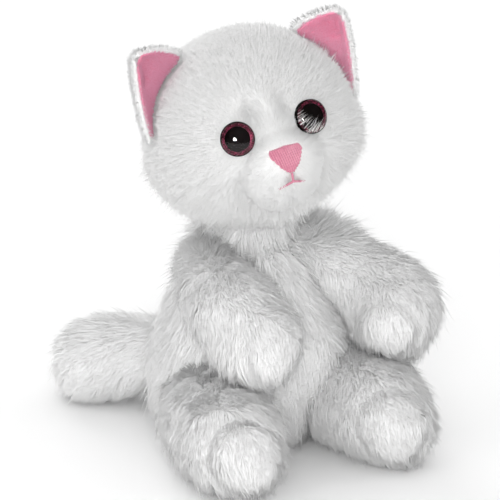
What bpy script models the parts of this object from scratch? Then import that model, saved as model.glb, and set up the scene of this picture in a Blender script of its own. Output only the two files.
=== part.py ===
"""A sitting plush kitten, built as its sewn fabric panels, stuffing, safety eyes and stitching.

Blender 4.5, metres, +Z up. The kitten faces -Y and its own left side is +X. The origin is the
centre of the flat underside of its seat. Every soft part starts as one closed form. Its fabric
panels are that form's skin, cut along the seams, and its stuffing is the same form made smaller.
The fabric's outer face stands for the middle of the pile.
"""

import math

import bmesh
import bpy
from mathutils import Matrix, Vector

MM = 0.001

# Fabric and gaps
FABRIC = 2.4 * MM  # pile fabric, from its backing to the middle of the pile
TOUCH_GAP = 0.3 * MM  # between pieces that touch
SOCKET_GAP = 2.0 * MM  # between a limb's base and the hollow it is sewn into
STUFFING_GAP = 0.7 * MM  # between a fabric skin and its stuffing
THREAD = 0.4 * MM  # radius of a seam's sewing thread

# Torso: a turned pear, (radius, height) from the top down its outer side, then leant and flattened
TORSO_PROFILE = [
    (0, 115), (9, 113.5), (16, 109.5), (21, 103), (25, 94), (29.5, 82), (34, 70), (38.5, 57),
    (42, 43), (43.5, 30), (42.5, 18), (39, 8), (34, 2), (29, 0), (0, 0),
]  # fmt: skip
TORSO_STEPS = 22
TORSO_DEPTH = 0.95  # front to back, against its width
TORSO_LEAN = -9 * MM  # how far its top leans forward
LEAN_POWER = 1.3  # above 1, the lean grows with the height
TORSO_TOP = 115 * MM
TORSO_HALF_DEPTH = 41 * MM
BELLY_OUT = 4 * MM
BELLY_HEIGHT = 52 * MM
BELLY_SPREAD = 28 * MM
ROLL_OUT = 10 * MM  # the soft roll of belly between the arms, to the left of the middle
ROLL_X = 16 * MM
ROLL_HEIGHT = 58 * MM
ROLL_HALF_WIDTH = 21 * MM
ROLL_HALF_HEIGHT = 23 * MM
SEAM_STITCHES = 9  # of the back's closing seam, upwards from its lowest
SEAM_LOWEST_Z = 38 * MM
SEAM_PITCH = 5 * MM
SIDE_SEAM_Y = -7 * MM
SEAT_SEAM_Z = 4.5 * MM
BAG_RADII = (19 * MM, 17 * MM, 12 * MM)
BAG_CENTRE_Y = 9 * MM

# Neck: a stuffed ball between head and torso
NECK_PIVOT = Vector((-1.5, -10, 114)) * MM
NECK_RADIUS = 17 * MM

# Head, in its own symmetric frame: centre at the origin, face towards -Y
HEAD_CENTRE = Vector((-5, -18, 163)) * MM
HEAD_YAW = math.radians(-13.5)  # turned to its right
HEAD_PITCH = math.radians(-10)  # looking up
HEAD_ROLL = math.radians(-11.5)  # leaning to its right
HEAD_RADII = (48.5 * MM, 46.5 * MM, 45 * MM)
HEAD_SEGMENTS = 22
HEAD_RINGS = 14
FRONT_CROWDING = 1.25  # above 1, the rings sit closer together on the face
MUZZLE_OUT = 13.5 * MM
MUZZLE_PLACE = (0.0, -0.33)  # on the face, as shares of the ball: across and up
MUZZLE_SPREAD = (0.43, 0.34)
MUZZLE_EDGE = 1.4  # above 1, the muzzle's edge is steeper
CHIN_OUT = 6 * MM
CHIN_HEIGHT = -0.68
CHIN_SPREAD = (0.3, 0.2)
CHEEKS = 0.05  # how much wider the head is at its cheeks
CHEEK_HEIGHT = -0.25
CHEEK_SPREAD = 0.4
BROW_IN = 2 * MM  # the dent between the eyes
BROW_HEIGHT = 0.25
BROW_SPREAD = 0.2
GUSSET_HALF = 9 * MM
MUZZLE_HALF = 23 * MM
MUZZLE_TOP_Z = 1 * MM
MUZZLE_BOTTOM_Z = -31 * MM
MUZZLE_BACK_Y = -30 * MM
BACK_SEAM_Y = 5 * MM

# Eyes: clear domes over a glitter ring and a black pupil, held by a post and a lock washer
EYE_X = 18 * MM
EYE_Z = 4.2 * MM
EYE_RADIUS = 8.2 * MM
EYE_SEAT = 0.8 * MM  # the plate's back, above the fabric at the eye's centre
EYE_DOME = 4.2 * MM
EYE_RIM = 0.4 * MM  # the dome's straight edge
EYE_PLATE = 1.2 * MM
EYE_STEPS = 14
IRIS_RADIUS = 7.5 * MM
PUPIL_RADIUS = 5.4 * MM
FOIL = 0.4 * MM
POST_RADIUS = 2.3 * MM
POST_LENGTH = 13 * MM
WASHER_RADIUS = 6.5 * MM
WASHER = 1.4 * MM
WASHER_TOP = -(FABRIC + 3.2 * MM)  # its front, behind the fabric
ROOM_REACH = 20 * MM  # how far the eye's cuts reach past the fabric
POST_ROOM_TOP = 5 * MM
WASHER_ROOM_TOP = 6 * MM
POST_END_ROOM = 1 * MM
DOME_RINGS = 5

# Nose and mouth embroidery
NOSE_HALF = 8.1 * MM
NOSE_TOP_Z = -3.8 * MM
NOSE_TIP_Z = -15.6 * MM
NOSE_TIP_HALF = 1.2 * MM
NOSE_BROW = 0.8 * MM  # how far the nose's upper edge rises in its middle
NOSE_EDGE_DROP = 2.5 * MM  # from the upper edge to the nose's widest place
NOSE_FLANK_DROP = 8.5 * MM  # from the upper edge to where its sides turn in
NOSE_FLANK = 0.55  # of its half width there
NOSE_CORNER = 0.9  # of its half width at the upper edge
MOUTH_STEM = 4 * MM
MOUTH_DROP = 2.5 * MM
MOUTH_HALF = 7 * MM
MOUTH_LOWER_HALF = 6.6 * MM
FACE_FRONT_Y = -30 * MM  # the stitches lie in front of this
STITCH_DEPTH = 1.3 * MM
STITCH_HALF = 0.7 * MM

# Ears: (x, y, z) in the head's frame for the left one; the right one mirrors it
EAR_TOP = Vector((25.5, -3, 39)) * MM
EAR_BOTTOM = Vector((49, -8, 0)) * MM
EAR_TIP = Vector((49.5, -8, 43)) * MM
EAR_ASKEW = math.radians(4.5)  # both ears are sewn on a little turned about the face
EAR_CLEAR = 1.9 * MM  # from the head's fabric, so that the ear can fold
EAR_CUP = 6 * MM
EAR_BACK = 2.0 * MM
EAR_LINING = 1.2 * MM
EAR_LAYER_GAP = 1.0 * MM
EAR_BASE_BOW = 5.4 * MM  # how far the base bows out over the head's round side
EAR_ROUNDING = 1.25  # 1 makes the sides straight, more makes them bulge
EAR_POINT = 0.85  # 1 makes a sharp tip, less a blunter one
EAR_COLUMNS = 8
EAR_ROWS = 5

# Limbs: stations of (x, y, z, radius) in mm along the middle of each, from its joint to its end
LIMB_SIDES = 4  # a curve's bevel resolution: 2 * (resolution + 2) sides
LIMB_RINGS = 5
CAP_RINGS = 3
CAP_ANGLE = math.radians(84)  # how far round a limb's end its last ring sits
ROOM_STATIONS = 3  # how many stations of a limb can meet the torso
ROOM_RINGS = 2
ROOM_SIDES = 3
ARMS = {
    "right": [
        (-22, -9, 91.5, 12),
        (-29, -26, 87, 15.5),
        (-28, -44, 80, 18.5),
        (-25, -57, 71, 20.5),
        (-24.5, -60, 69, 20),
    ],
    "left": [
        (22, -9, 91.5, 12),
        (37, -22, 86, 15.5),
        (48.5, -39, 78.5, 18),
        (52.5, -53, 72.2, 20.2),
        (50.5, -59, 70.2, 20),
    ],
}
ARM_LIFT = 30  # degrees
LEGS = {
    "right": [
        (-27, -12, 22, 17),
        (-36, -34, 24.3, 22.5),
        (-41, -54, 25, 24.2),
        (-44, -70, 23.8, 23),
        (-45, -77, 23, 21),
    ],
    "left": [
        (27, -12, 22, 17),
        (35, -34, 24.3, 22.5),
        (38, -54, 25, 24.2),
        (39, -70, 23.8, 23),
        (39, -77, 23, 21),
    ],
}
LEG_SPREAD = 22  # degrees, outwards
SEAM_THREAD = 0.8  # of the neck thread's size, round a limb
SOLE_SEAM = 9 * MM  # the sole's seam, behind the end of the foot
TAIL = [(-6, 34, 27, 11), (-17, 49, 27.5, 14.2), (-31, 62, 23.5, 17.5), (-42, 70, 21, 18)]
TAIL_WAG = 20  # degrees, each way

COLOURS = {
    "white_plush": ((0.86, 0.86, 0.85), 0.95),
    "pink_plush": ((0.83, 0.25, 0.38), 0.9),
    "pink_thread": ((0.76, 0.24, 0.35), 0.55),
    "white_thread": ((0.85, 0.85, 0.84), 0.7),
    "stuffing": ((0.93, 0.93, 0.92), 1.0),
    "bag_cloth": ((0.8, 0.8, 0.77), 0.85),
    "clear_plastic": ((0.9, 0.9, 0.9), 0.05),
    "glitter_foil": ((0.4, 0.04, 0.13), 0.3),
    "black_plastic": ((0.01, 0.01, 0.01), 0.25),
}

BIG = 1.0  # half the size of a cutting box that has no end
FAR = 0.2  # outside the whole kitten
WELD = 0.00001  # points closer than this are one


# ---------------------------------------------------------------- scene, materials and small tools


def start_scene():
    """Empties the scene and makes the collections for the parts and for the cutters."""
    for thing in list(bpy.data.objects):
        bpy.data.objects.remove(thing)
    made = []
    for name in ("plush_kitten", "cutters"):
        group = bpy.data.collections.new(name)
        bpy.context.scene.collection.children.link(group)
        made.append(group)
    return made


PARTS, CUTTERS = start_scene()


def material(slot):
    """The named finish as a Principled material."""
    found = bpy.data.materials.get(slot)
    if found:
        return found
    colour, roughness = COLOURS[slot]
    made = bpy.data.materials.new(slot)
    made.use_nodes = True
    shader = made.node_tree.nodes["Principled BSDF"]
    shader.inputs["Base Color"].default_value = (*colour, 1)
    shader.inputs["Roughness"].default_value = roughness
    shader.inputs["Metallic"].default_value = 0.6 if slot == "glitter_foil" else 0.0
    return made


def add_part(name, mesh, slot, parent=None):
    """A part's object from its mesh, smooth over its soft curves, with its finish."""
    mesh.name = name
    mesh.materials.clear()
    mesh.materials.append(material(slot))
    mesh.shade_smooth()
    mesh.set_sharp_from_angle(angle=math.radians(50))
    made = bpy.data.objects.new(name, mesh)
    made.parent = parent
    PARTS.objects.link(made)
    return made


def add_cutter(name, mesh, parent=None):
    """A hidden object that only cuts others."""
    made = bpy.data.objects.new(name, mesh)
    made.parent = parent
    made.hide_render = True
    made.display_type = "WIRE"
    CUTTERS.objects.link(made)
    return made


def evaluated_mesh(thing):
    """The mesh that an object's curve or modifiers make."""
    bpy.context.view_layer.update()
    graph = bpy.context.evaluated_depsgraph_get()
    return bpy.data.meshes.new_from_object(thing.evaluated_get(graph), depsgraph=graph)


def tube_mesh(curve):
    """A bevelled curve as one closed mesh, with its loose caps welded on."""
    guide = add_cutter("tube", curve)
    made = evaluated_mesh(guide)
    bpy.data.objects.remove(guide)
    soup = bmesh.new()
    soup.from_mesh(made)
    bmesh.ops.remove_doubles(soup, verts=soup.verts, dist=WELD)
    soup.to_mesh(made)
    soup.free()
    return face_out(made)


def face_out(mesh):
    """Turns a closed form's faces outwards."""
    soup = bmesh.new()
    soup.from_mesh(mesh)
    bmesh.ops.recalc_face_normals(soup, faces=soup.faces)
    soup.to_mesh(mesh)
    soup.free()
    return mesh


def reshaped(mesh, rule):
    """Moves each of the mesh's points to where the rule says."""
    for point in mesh.vertices:
        point.co = rule(point.co.copy())
    mesh.update()
    return mesh


def inflated(mesh, distance):
    """A copy of a closed form with its surface moved out by a distance, or in by a negative one."""
    made = mesh.copy()
    normals = [Vector(n.vector) for n in mesh.vertex_normals]
    for point, normal in zip(made.vertices, normals):
        point.co += normal * distance
    made.update()
    return made


def moved(mesh, matrix):
    """A transformed copy of a mesh."""
    made = mesh.copy()
    made.transform(matrix)
    return made


def bell(x):
    """1 at 0, falling smoothly to nothing by about 2."""
    return math.exp(-x * x)


def ball_mesh(radii, centre=(0, 0, 0), segments=24, rings=14):
    """An ellipsoid."""
    soup = bmesh.new()
    bmesh.ops.create_uvsphere(soup, u_segments=segments, v_segments=rings, radius=1.0)
    bmesh.ops.scale(soup, vec=radii, verts=soup.verts)
    bmesh.ops.translate(soup, vec=centre, verts=soup.verts)
    made = bpy.data.meshes.new("ball")
    soup.to_mesh(made)
    soup.free()
    return made


def rod_mesh(radius, low, high, segments=20):
    """An upright cylinder between two heights."""
    soup = bmesh.new()
    middle = Matrix.Translation((0, 0, (low + high) / 2))
    bmesh.ops.create_cone(
        soup,
        cap_ends=True,
        segments=segments,
        radius1=radius,
        radius2=radius,
        depth=high - low,
        matrix=middle,
    )
    made = bpy.data.meshes.new("rod")
    soup.to_mesh(made)
    soup.free()
    return made


def box_mesh(low, high):
    """A box between two corners."""
    low, high = Vector(low), Vector(high)
    soup = bmesh.new()
    bmesh.ops.create_cube(soup, size=1.0)
    bmesh.ops.scale(soup, vec=high - low, verts=soup.verts)
    bmesh.ops.translate(soup, vec=(low + high) / 2, verts=soup.verts)
    made = bpy.data.meshes.new("box")
    soup.to_mesh(made)
    soup.free()
    return made


def ring_mesh(radius, thickness, steps=16, sides=4):
    """A flat ring of round thread about +Z, turned from a small circle."""
    turn = [math.tau * k / sides for k in range(sides)]
    circle = [(radius + thickness * math.cos(a), -thickness * math.sin(a)) for a in turn]
    return turned_mesh(circle, steps, closed=True)


def turned_mesh(profile, steps, closed=False):
    """A profile of (radius, height) at +X, running down its outer side, turned about +Z."""
    count = len(profile)
    edges = [(k, k + 1) for k in range(count - 1)]
    if closed:
        edges.append((count - 1, 0))
    line = bpy.data.meshes.new("profile")
    line.from_pydata([(r, 0, z) for r, z in profile], edges, [])
    guide = add_cutter("profile", line)
    screw = guide.modifiers.new("turn", "SCREW")
    screw.steps = screw.render_steps = steps
    screw.use_merge_vertices = True
    screw.merge_threshold = WELD
    made = evaluated_mesh(guide)
    bpy.data.objects.remove(guide)
    return face_out(made)


def cut(mesh, *cutters, keep=False, parent=None):
    """A copy of the mesh less each cutter in turn, or only what is inside them when keep is set."""
    made = mesh
    for cutter in cutters:
        work = bpy.data.objects.new("work", made.copy())
        work.parent = parent
        CUTTERS.objects.link(work)
        blade = work.modifiers.new("cut", "BOOLEAN")
        blade.operation = "INTERSECT" if keep else "DIFFERENCE"
        blade.object = cutter
        blade.solver = "MANIFOLD"  # EXACT loses whole walls of these thin hollow skins
        made = evaluated_mesh(work)
        bpy.data.objects.remove(work)
    return made


def without_offcuts(mesh):
    """Keeps only the largest of a mesh's separate pieces, which is the panel itself."""
    soup = bmesh.new()
    soup.from_mesh(mesh)
    left = set(soup.verts)
    pieces = []
    while left:
        piece, edge = set(), [left.pop()]
        while edge:
            point = edge.pop()
            piece.add(point)
            fresh = {line.other_vert(point) for line in point.link_edges} & left
            left -= fresh
            edge += fresh
        pieces.append(piece)
    pieces.sort(key=len)
    for piece in pieces[:-1]:
        bmesh.ops.delete(soup, geom=list(piece), context="VERTS")
    soup.to_mesh(mesh)
    soup.free()
    return mesh


def skin_of(form):
    """A closed form's hollow skin: its surface, thickened inwards."""
    work = bpy.data.objects.new("work", form.copy())
    CUTTERS.objects.link(work)
    wall = work.modifiers.new("wall", "SOLIDIFY")
    wall.thickness = FABRIC
    wall.offset = -1.0
    made = evaluated_mesh(work)
    bpy.data.objects.remove(work)
    return made


def add_panel(name, skin, box, parent=None):
    """The fabric panel that a cutting box keeps of a skin."""
    panel = without_offcuts(cut(skin, box, keep=True, parent=parent))
    return add_part(name, panel, "white_plush", parent)


def region(name, low=(None, None, None), high=(None, None, None), parent=None):
    """A cutting box. A corner value of None has no end. Two boxes that meet keep the touching gap."""
    low = [-BIG if value is None else value + TOUCH_GAP / 2 for value in low]
    high = [BIG if value is None else value - TOUCH_GAP / 2 for value in high]
    return add_cutter(name, box_mesh(low, high), parent)


# ---------------------------------------------------------------- forms


def smooth_stations(stations, count):
    """Points and radii on one smooth curve through the stations (Catmull-Rom)."""
    rows = [Vector(s) * MM for s in stations]
    rows = [rows[0] * 2 - rows[1], *rows, rows[-1] * 2 - rows[-2]]
    spans = len(rows) - 3
    made = []
    for k in range(count + 1):
        place = spans * k / count
        i = min(int(place), spans - 1)
        t = place - i
        a, b, c, d = rows[i : i + 4]
        bend = (2 * a - 5 * b + 4 * c - d) * t**2
        twist = (3 * b - a - 3 * c + d) * t**3
        made.append(0.5 * (2 * b + (c - a) * t + bend + twist))
    return made


def limb_form(stations, rings=LIMB_RINGS, sides=LIMB_SIDES, cap_rings=CAP_RINGS):
    """A limb's closed form: a tube along its stations with a round end at each end."""
    rows = smooth_stations(stations, rings)
    first, last = rows[0], rows[-1]
    back = (rows[0] - rows[1]).to_3d().normalized()
    ahead = (rows[-1] - rows[-2]).to_3d().normalized()
    points = []
    for k in range(cap_rings, 0, -1):
        angle = CAP_ANGLE * k / cap_rings
        points.append((first.to_3d() + back * first.w * math.sin(angle), first.w * math.cos(angle)))
    points += [(row.to_3d(), row.w) for row in rows]
    for k in range(1, cap_rings + 1):
        angle = CAP_ANGLE * k / cap_rings
        points.append((last.to_3d() + ahead * last.w * math.sin(angle), last.w * math.cos(angle)))
    curve = bpy.data.curves.new("limb", "CURVE")
    curve.dimensions = "3D"
    curve.bevel_depth = 1.0
    curve.bevel_resolution = sides
    curve.use_fill_caps = True
    spline = curve.splines.new("POLY")
    spline.points.add(len(points) - 1)
    for knot, (place, radius) in zip(spline.points, points):
        knot.co = (*place, 1)
        knot.radius = radius
    return tube_mesh(curve)


def torso_form():
    """The torso's closed form: a pear, leaning forward, with a soft belly and a flat seat."""

    def rule(point):
        height = point.z / TORSO_TOP
        front = max(0.0, -point.y / TORSO_HALF_DEPTH)
        roll = bell((point.x - ROLL_X) / ROLL_HALF_WIDTH) * bell((point.z - ROLL_HEIGHT) / ROLL_HALF_HEIGHT)
        point.y *= TORSO_DEPTH
        point.y -= front * (BELLY_OUT * bell((point.z - BELLY_HEIGHT) / BELLY_SPREAD) + ROLL_OUT * roll)
        point.y += TORSO_LEAN * max(0.0, height) ** LEAN_POWER
        return point

    profile = [(r * MM, z * MM) for r, z in TORSO_PROFILE]
    return reshaped(turned_mesh(profile, TORSO_STEPS), rule)


def head_form():
    """The head's closed form: a wide ball with full cheeks, a puffed muzzle and a small chin."""

    def rule(point):
        # The ball's pole points at the face, and its rings crowd together there.
        polar = math.acos(max(-1.0, min(1.0, point.z)))
        around = math.atan2(point.y, point.x)
        polar = math.pi * (polar / math.pi) ** FRONT_CROWDING
        x = math.sin(polar) * math.cos(around)
        z = math.sin(polar) * math.sin(around)
        y = -math.cos(polar)
        made = Vector((x * HEAD_RADII[0], y * HEAD_RADII[1], z * HEAD_RADII[2]))
        made.x *= 1 + CHEEKS * bell((z - CHEEK_HEIGHT) / CHEEK_SPREAD)
        if y < 0:
            across = (x - MUZZLE_PLACE[0]) / MUZZLE_SPREAD[0]
            up = (z - MUZZLE_PLACE[1]) / MUZZLE_SPREAD[1]
            made.y -= MUZZLE_OUT * math.exp(-((across**2 + up**2) ** MUZZLE_EDGE))
            made.y -= CHIN_OUT * bell(x / CHIN_SPREAD[0]) * bell((z - CHIN_HEIGHT) / CHIN_SPREAD[1])
            made.y += BROW_IN * bell(x / BROW_SPREAD) * bell((z - BROW_HEIGHT) / BROW_SPREAD)
        return made

    return face_out(reshaped(ball_mesh((1, 1, 1), segments=HEAD_SEGMENTS, rings=HEAD_RINGS), rule))


def on_form(form, ray):
    """Where a line along +Y from the front, through a point, meets a form, and the normal there."""
    guide = add_cutter("probe", form)
    bpy.context.view_layer.update()
    hit, place, normal, _ = guide.ray_cast(Vector(ray) + Vector((0, -FAR, 0)), Vector((0, 1, 0)))
    bpy.data.objects.remove(guide)
    if not hit:
        raise ValueError("the ray misses the form")
    return place, normal


# ---------------------------------------------------------------- limbs


def limb_pivot(stations):
    return Vector(stations[0][:3]) * MM


def turned_about(pivot, axis, degrees):
    """The turn of a joint about its pivot."""
    turn = Matrix.Rotation(math.radians(degrees), 4, axis)
    return Matrix.Translation(pivot) @ turn @ Matrix.Translation(-pivot)


def sweep_cutter(name, stations, axis, turns):
    """A limb's room in the torso: the hull of its first stations, a little larger, at each turn."""
    form = inflated(limb_form(stations[:ROOM_STATIONS], ROOM_RINGS, ROOM_SIDES, 2), SOCKET_GAP)
    soup = bmesh.new()
    for turn in turns:
        joint = turned_about(limb_pivot(stations), axis, turn)
        for point in form.vertices:
            soup.verts.new(joint @ point.co)
    bmesh.ops.convex_hull(soup, input=soup.verts)
    inside = [point for point in soup.verts if not point.link_faces]
    bmesh.ops.delete(soup, geom=inside, context="VERTS")
    made = bpy.data.meshes.new("room")
    soup.to_mesh(made)
    soup.free()
    return add_cutter(f"{name}_room", face_out(made))


def seam_ring(name, stations):
    """The thread of a limb's closing seam, in the gap round its base."""
    radius = stations[0][3] * MM
    mesh = ring_mesh(radius + SOCKET_GAP / 2, THREAD * SEAM_THREAD)
    turn = limb_direction(stations).to_track_quat("Z", "Y").to_matrix().to_4x4()
    mesh.transform(Matrix.Translation(limb_pivot(stations)) @ turn)
    return add_part(name, mesh, "white_thread")


def limb_direction(stations):
    return (Vector(stations[1][:3]) - Vector(stations[0][:3])).normalized()


def make_arm(side, form):
    """An arm: an outer and an inner panel over its stuffing."""
    stations = ARMS[side]
    pivot = limb_pivot(stations)
    along = Vector(stations[-2][:3]) - Vector(stations[0][:3])
    across = Vector((along.y, -along.x, 0)).normalized() * (1 if side == "left" else -1)
    # The cut runs the length of the arm, upright, so that one panel faces the body.
    frame = Matrix.Translation(pivot) @ across.to_track_quat("X", "Z").to_matrix().to_4x4()
    skin = skin_of(form)
    for name, low, high in (("outer", None, 0.0), ("inner", 0.0, None)):
        box = region(f"arm_{name}_{side}_region", (low, None, None), (high, None, None))
        box.matrix_world = frame
        add_panel(f"arm_{name}_{side}", skin, box)
    add_part(f"arm_stuffing_{side}", inflated(form, -(FABRIC + STUFFING_GAP)), "stuffing")


def make_leg(side, form):
    """A leg: its wrapped upper panel, the sole that closes the foot, and its stuffing."""
    stations = LEGS[side]
    end, before = Vector(stations[-1][:3]) * MM, Vector(stations[-2][:3]) * MM
    ahead = (end - before).normalized()
    seam = end + ahead * (stations[-1][3] * MM - SOLE_SEAM)
    frame = Matrix.Translation(seam) @ ahead.to_track_quat("X", "Z").to_matrix().to_4x4()
    skin = skin_of(form)
    for name, low, high in (("upper", None, 0.0), ("sole", 0.0, None)):
        box = region(f"leg_{name}_{side}_region", (low, None, None), (high, None, None))
        box.matrix_world = frame
        add_panel(f"leg_{name}_{side}", skin, box)
    add_part(f"leg_stuffing_{side}", inflated(form, -(FABRIC + STUFFING_GAP)), "stuffing")


def make_tail(form):
    """The tail: an upper and a lower panel over its stuffing."""
    pivot = limb_pivot(TAIL)
    tip = Vector(TAIL[-1][:3]) * MM
    up = Vector((0, 0, 1))
    along = (tip - pivot).normalized()
    normal = (up - along * up.dot(along)).normalized()
    frame = Matrix.Translation(pivot) @ normal.to_track_quat("X", "Y").to_matrix().to_4x4()
    skin = skin_of(form)
    for name, low, high in (("upper", 0.0, None), ("lower", None, 0.0)):
        box = region(f"tail_{name}_region", (low, None, None), (high, None, None))
        box.matrix_world = frame
        add_panel(f"tail_{name}", skin, box)
    add_part("tail_stuffing", inflated(form, -(FABRIC + STUFFING_GAP)), "stuffing")


# ---------------------------------------------------------------- torso and neck


def make_torso(rooms):
    """Belly, two back panels and seat over the stuffing, with the bag of pellets in the seat."""
    form = torso_form()
    neck_room = add_cutter("neck_room", ball_mesh([NECK_RADIUS + SOCKET_GAP] * 3, NECK_PIVOT))
    skin = cut(skin_of(form), neck_room, *rooms)
    side, seat = SIDE_SEAM_Y, SEAT_SEAM_Z
    panels = {
        "torso_belly": ((None, None, seat), (None, side, None)),
        "torso_back_left": ((0.0, side, seat), (None, None, None)),
        "torso_back_right": ((None, side, seat), (0.0, None, None)),
        "torso_seat": ((None, None, None), (None, None, seat)),
    }
    for name, (low, high) in panels.items():
        add_panel(name, skin, region(f"{name}_region", low, high))

    bag_centre = Vector((0, BAG_CENTRE_Y, FABRIC + STUFFING_GAP))
    bag_top = region("bag_top", (None, None, bag_centre.z), (None, None, None))
    bag = cut(ball_mesh(BAG_RADII, bag_centre), bag_top, keep=True)
    add_part("pellet_bag", bag, "bag_cloth")
    bag_room = add_cutter("bag_room", ball_mesh([r + 2 * TOUCH_GAP for r in BAG_RADII], bag_centre))
    core = inflated(form, -(FABRIC + STUFFING_GAP))
    add_part("torso_stuffing", cut(core, neck_room, bag_room, *rooms), "stuffing")
    make_back_stitches(form)


def make_back_stitches(form):
    """The hand-sewn closing of the back seam, a thread lying along it."""
    guide = add_cutter("probe", form)
    bpy.context.view_layer.update()
    points = []
    for k in range(SEAM_STITCHES):
        behind = Vector((0, FAR, SEAM_LOWEST_Z + SEAM_PITCH * k))
        _, place, normal, _ = guide.ray_cast(behind, Vector((0, -1, 0)))
        points.append(place + normal * (THREAD + 2 * TOUCH_GAP))
    bpy.data.objects.remove(guide)
    add_part("back_closing_seam", thread_mesh(points), "white_thread")


def thread_mesh(points, radius=THREAD):
    """A thread along points, as a closed tube."""
    curve = bpy.data.curves.new("thread", "CURVE")
    curve.dimensions = "3D"
    curve.bevel_depth = radius
    curve.bevel_resolution = 1
    curve.use_fill_caps = True
    spline = curve.splines.new("POLY")
    spline.points.add(len(points) - 1)
    for knot, place in zip(spline.points, points):
        knot.co = (*place, 1)
    return tube_mesh(curve)


def make_neck():
    """The stuffed ball of the neck and the thread that gathers it."""
    add_part("neck_stuffing", ball_mesh([NECK_RADIUS] * 3, NECK_PIVOT, 20, 12), "stuffing")
    ring = ring_mesh(NECK_RADIUS + THREAD + TOUCH_GAP * 2, THREAD)
    ring.transform(Matrix.Translation(NECK_PIVOT))
    add_part("neck_seam_thread", ring, "white_thread")


# ---------------------------------------------------------------- head


def head_frame():
    """The empty that carries the head's own symmetric frame to its turned and tilted place."""
    pose = bpy.data.objects.new("head_pose", None)
    yaw = Matrix.Rotation(HEAD_YAW, 4, "Z")
    pitch = Matrix.Rotation(HEAD_PITCH, 4, "X")
    roll = Matrix.Rotation(HEAD_ROLL, 4, "Y")
    pose.matrix_world = Matrix.Translation(HEAD_CENTRE) @ yaw @ pitch @ roll
    PARTS.objects.link(pose)
    bpy.context.view_layer.update()
    return pose


def eye_frame(form, sign):
    """The place of an eye on the head: its origin on the fabric, +Z looking out."""
    place, normal = on_form(form, (sign * EYE_X, 0, EYE_Z))
    look = (normal + Vector((0, -0.6, 0))).normalized()
    return Matrix.Translation(place) @ look.to_track_quat("Z", "Y").to_matrix().to_4x4()


def make_eye(side, frame, pose):
    """A safety eye: plate with post, glitter ring, pupil, clear dome, and the washer inside the head."""
    plate_top = EYE_SEAT + EYE_PLATE
    foil_low = plate_top + TOUCH_GAP / 3
    foil_top = foil_low + FOIL
    base = foil_top + TOUCH_GAP / 3
    inner = PUPIL_RADIUS + TOUCH_GAP / 3
    hole = POST_RADIUS + TOUCH_GAP
    low = WASHER_TOP - WASHER
    arc = [math.radians(90 * k / DOME_RINGS) for k in range(DOME_RINGS + 1)]
    post = [
        (0, plate_top), (EYE_RADIUS, plate_top), (EYE_RADIUS, EYE_SEAT),
        (POST_RADIUS, EYE_SEAT), (POST_RADIUS, -POST_LENGTH), (0, -POST_LENGTH),
    ]  # fmt: skip
    iris = [(inner, foil_top), (IRIS_RADIUS, foil_top), (IRIS_RADIUS, foil_low), (inner, foil_low)]
    pupil = [(0, foil_top), (PUPIL_RADIUS, foil_top), (PUPIL_RADIUS, foil_low), (0, foil_low)]
    dome = [(EYE_RADIUS * math.sin(a), base + EYE_RIM + EYE_DOME * math.cos(a)) for a in arc]
    dome += [(EYE_RADIUS, base), (0, base)]
    washer = [(hole, WASHER_TOP), (WASHER_RADIUS, WASHER_TOP), (WASHER_RADIUS, low), (hole, low)]
    for name, profile, closed, slot in (
        ("post", post, False, "black_plastic"),
        ("iris", iris, True, "glitter_foil"),
        ("pupil", pupil, False, "black_plastic"),
        ("dome", dome, False, "clear_plastic"),
        ("washer", washer, True, "black_plastic"),
    ):
        mesh = moved(turned_mesh(profile, EYE_STEPS, closed), frame)
        add_part(f"eye_{name}_{side}", mesh, slot, pose)


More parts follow.
